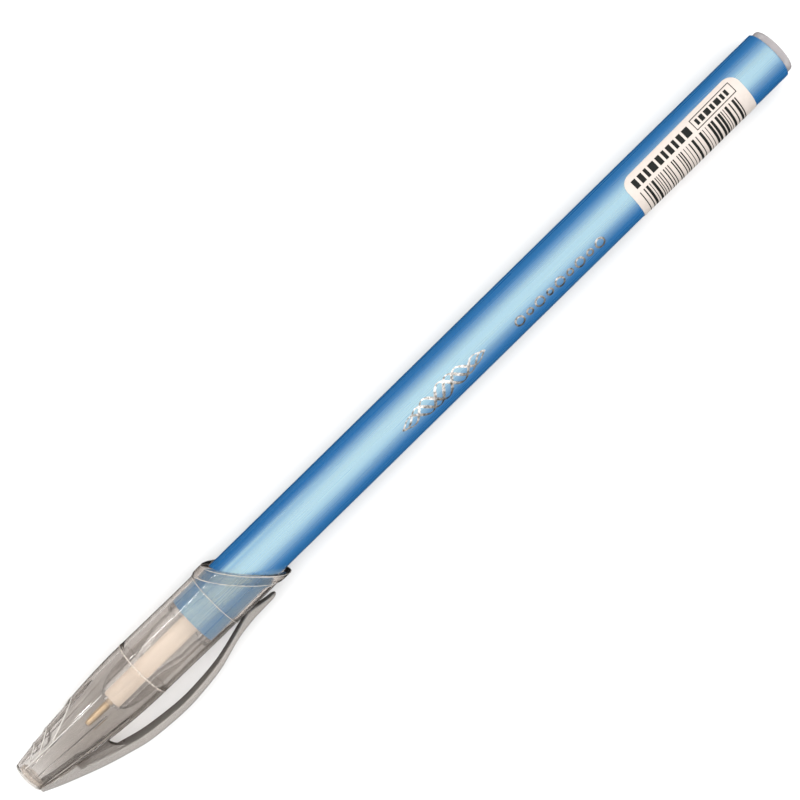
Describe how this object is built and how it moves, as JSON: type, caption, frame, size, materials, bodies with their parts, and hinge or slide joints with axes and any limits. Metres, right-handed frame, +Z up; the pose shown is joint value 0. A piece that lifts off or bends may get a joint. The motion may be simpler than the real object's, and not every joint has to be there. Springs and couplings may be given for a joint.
{
  "type": "capped ball-point pen",
  "caption": "Slim capped stick pen lying flat: translucent cap with pocket clip and slanted mouth, pearl blue barrel, clear nose section and a replaceable ball-point refill.",
  "frame": {"origin": "centre of the space the lying pen takes, at the level of the table under it", "axes": "+X along the pen from the cap's closed end to the tail, -Y towards the pocket clip, +Z up from the table"},
  "size_m": [0.1504, 0.0136, 0.0099],
  "materials": {
    "barrel_pearl": "pearl blue film with a fine brushed sheen, foil ornament in silver",
    "label_paper": "coated white paper sticker with plain printed bars and blocks",
    "plug_plastic": "moulded translucent grey plastic",
    "clear_plastic": "clear moulded plastic",
    "tube_plastic": "extruded off-white plastic, satin",
    "tip_brass": "turned brass, fine lathe marks",
    "ball_carbide": "polished hard ball",
    "ink": "blue ink",
    "grease": "clear grease",
    "cap_plastic": "moulded translucent grey plastic, slightly frosted ahead of the step",
    "foil_silver": "hot-stamped silver foil ornament on the barrel",
    "print_black": "black print on the sticker, plain bars and blocks"
  },
  "bodies": {
    "barrel": {"barrel_tube": "barrel_pearl", "product_label": "label_paper"},
    "plug": {"end_plug": "plug_plastic"},
    "nose": {"nose_section": "clear_plastic"},
    "refill": {"refill_tube": "tube_plastic", "tip_body": "tip_brass", "ink_column": "ink"},
    "ball": {"writing_ball": "ball_carbide"},
    "follower": {"ink_follower": "grease"},
    "cap": {"cap_shell": "cap_plastic"},
    "clip": {"pocket_clip": "cap_plastic"}
  },
  "joints": [
    {"name": "nose_pull", "type": "slide", "parent": "barrel", "child": "nose", "axis": [-1, 0, 0], "range_m": [0, 0.012]},
    {"name": "cap_pull", "type": "slide", "parent": "nose", "child": "cap", "axis": [-1, 0, 0], "range_m": [0, 0.05]},
    {"name": "clip_flex", "type": "hinge", "parent": "cap", "child": "clip", "pos_m": [-0.0626, -0.00434, 0.00331], "axis": [0, 0.2588, -0.9659], "range_deg": [0, 6], "stiffness_Nm_per_rad": 0.15},
    {"name": "refill_slide", "type": "slide", "parent": "nose", "child": "refill", "axis": [1, 0, 0], "range_m": [0, 0.0045]},
    {"name": "ball_roll", "type": "hinge", "parent": "refill", "child": "ball", "pos_m": [-0.06355, 0.00186, 0.00497], "axis": [0, 1, 0], "continuous": true},
    {"name": "follower_slide", "type": "slide", "parent": "refill", "child": "follower", "axis": [-1, 0, 0], "range_m": [0, 0.09], "deforming": ["ink_column"]},
    {"name": "plug_pull", "type": "slide", "parent": "barrel", "child": "plug", "axis": [1, 0, 0], "range_m": [0, 0.009]}
  ]
}
